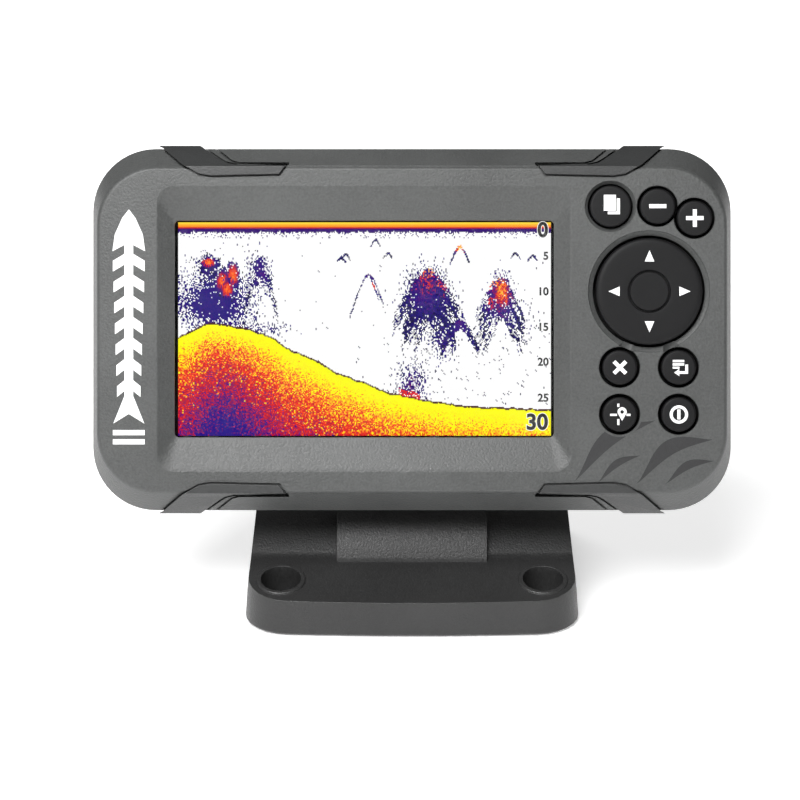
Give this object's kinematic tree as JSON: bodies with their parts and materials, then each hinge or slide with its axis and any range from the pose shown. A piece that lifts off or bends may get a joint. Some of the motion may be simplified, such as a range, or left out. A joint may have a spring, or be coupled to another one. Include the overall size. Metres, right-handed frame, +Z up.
{
  "type": "fish finder",
  "caption": "Compact fish finder with colour screen, round navigation pad and keys, on a tilting quick-release bracket.",
  "frame": {"origin": "centre of the bracket's flat underside", "axes": "+X to the user's right, -Y out of the screen towards the user, +Z up"},
  "size_m": [0.1624, 0.074, 0.1171],
  "materials": {
    "front_face": "fine-grained satin",
    "rear_shell": "fine-grained matte",
    "corner_trim": "satin",
    "keys": "matte with white printed symbols",
    "seals": "matte",
    "window": "clear, coated",
    "display_glass": "lit picture",
    "sheet_metal": "tinned sheet",
    "circuit_board": "solder mask",
    "small_parts": "plain",
    "fasteners": "stainless",
    "socket": "satin",
    "contacts": "plated",
    "bracket": "fine-grained matte",
    "release": "satin"
  },
  "bodies": {
    "bracket_base": {"mount_base": "bracket", "tilt_bolt": "fasteners", "tilt_nut": "fasteners", "friction_washer_left": "seals", "friction_washer_right": "seals"},
    "tilt_head": {"tilt_head": "bracket"},
    "release_lever": {"release_lever": "release", "lever_pin": "fasteners"},
    "clamp_shoe": {"clamp_shoe": "release"},
    "display_unit": {"front_bezel": "front_face", "rear_housing": "rear_shell", "housing_seal": "seals", "corner_trim_top_left": "corner_trim", "corner_trim_top_right": "corner_trim", "corner_trim_bottom_left": "corner_trim", "corner_trim_bottom_right": "corner_trim", "window_pane": "window", "window_gasket": "seals", "lcd_cell": "display_glass", "lcd_backlight": "display_glass", "lcd_carrier": "sheet_metal", "main_board": "circuit_board", "processor_shield": "sheet_metal", "gps_antenna": "small_parts", "alarm_buzzer": "small_parts", "lcd_ribbon": "circuit_board", "keypad_mat": "seals", "dome_sheet": "sheet_metal", "key_board": "circuit_board", "rear_socket": "socket", "socket_pins": "contacts", "vent_plug": "seals", "housing_screw_1": "fasteners", "housing_screw_2": "fasteners", "housing_screw_3": "fasteners", "housing_screw_4": "fasteners", "housing_screw_5": "fasteners", "housing_screw_6": "fasteners"},
    "pages_key": {"pages_key": "keys"},
    "zoom_out_key": {"zoom_out_key": "keys"},
    "zoom_in_key": {"zoom_in_key": "keys"},
    "exit_key": {"exit_key": "keys"},
    "menu_key": {"menu_key": "keys"},
    "waypoint_key": {"waypoint_key": "keys"},
    "power_key": {"power_key": "keys"},
    "dpad_hub": {"dpad_hub": "keys"},
    "dpad_rocker": {"dpad_rocker": "keys"}
  },
  "joints": [
    {"name": "tilt", "type": "hinge", "parent": "bracket_base", "child": "tilt_head", "pos_m": [0, 0.02138, 0.04677], "axis": [1, 0, 0], "range_deg": [-25, 8]},
    {"name": "lever_turn", "type": "hinge", "parent": "tilt_head", "child": "release_lever", "pos_m": [0, 0.01985, 0.0718], "axis": [0, -0.9397, 0.342], "range_deg": [0, 90]},
    {"name": "shoe_slide", "type": "slide", "parent": "tilt_head", "child": "clamp_shoe", "axis": [0, 0.9397, -0.342], "range_m": [0, 0.001]},
    {"name": "unit_slide", "type": "slide", "parent": "tilt_head", "child": "display_unit", "axis": [0, 0.342, 0.9397], "range_m": [0, 0.042]},
    {"name": "pages_press", "type": "slide", "parent": "display_unit", "child": "pages_key", "axis": [0, 0.9397, -0.342], "range_m": [0, 0.001], "stiffness_N_per_m": 500, "springref_m": -0.0008},
    {"name": "zoom_out_press", "type": "slide", "parent": "display_unit", "child": "zoom_out_key", "axis": [0, 0.9397, -0.342], "range_m": [0, 0.001], "stiffness_N_per_m": 500, "springref_m": -0.0008},
    {"name": "zoom_in_press", "type": "slide", "parent": "display_unit", "child": "zoom_in_key", "axis": [0, 0.9397, -0.342], "range_m": [0, 0.001], "stiffness_N_per_m": 500, "springref_m": -0.0008},
    {"name": "exit_press", "type": "slide", "parent": "display_unit", "child": "exit_key", "axis": [0, 0.9397, -0.342], "range_m": [0, 0.001], "stiffness_N_per_m": 500, "springref_m": -0.0008},
    {"name": "menu_press", "type": "slide", "parent": "display_unit", "child": "menu_key", "axis": [0, 0.9397, -0.342], "range_m": [0, 0.001], "stiffness_N_per_m": 500, "springref_m": -0.0008},
    {"name": "waypoint_press", "type": "slide", "parent": "display_unit", "child": "waypoint_key", "axis": [0, 0.9397, -0.342], "range_m": [0, 0.001], "stiffness_N_per_m": 500, "springref_m": -0.0008},
    {"name": "power_press", "type": "slide", "parent": "display_unit", "child": "power_key", "axis": [0, 0.9397, -0.342], "range_m": [0, 0.001], "stiffness_N_per_m": 500, "springref_m": -0.0008},
    {"name": "dpad_tilt_up_down", "type": "hinge", "parent": "display_unit", "child": "dpad_hub", "pos_m": [0.0596, -0.01096, 0.08365], "axis": [1, 0, 0], "range_deg": [-3, 3], "stiffness_Nm_per_rad": 0.15},
    {"name": "dpad_tilt_left_right", "type": "hinge", "parent": "dpad_hub", "child": "dpad_rocker", "pos_m": [0.0596, -0.01096, 0.08365], "axis": [0, 0.342, 0.9397], "range_deg": [-3, 3], "stiffness_Nm_per_rad": 0.15}
  ],
  "couplings": [
    {"joint": "lever_turn", "follows": "shoe_slide", "rad_per_m": 1570}
  ]
}
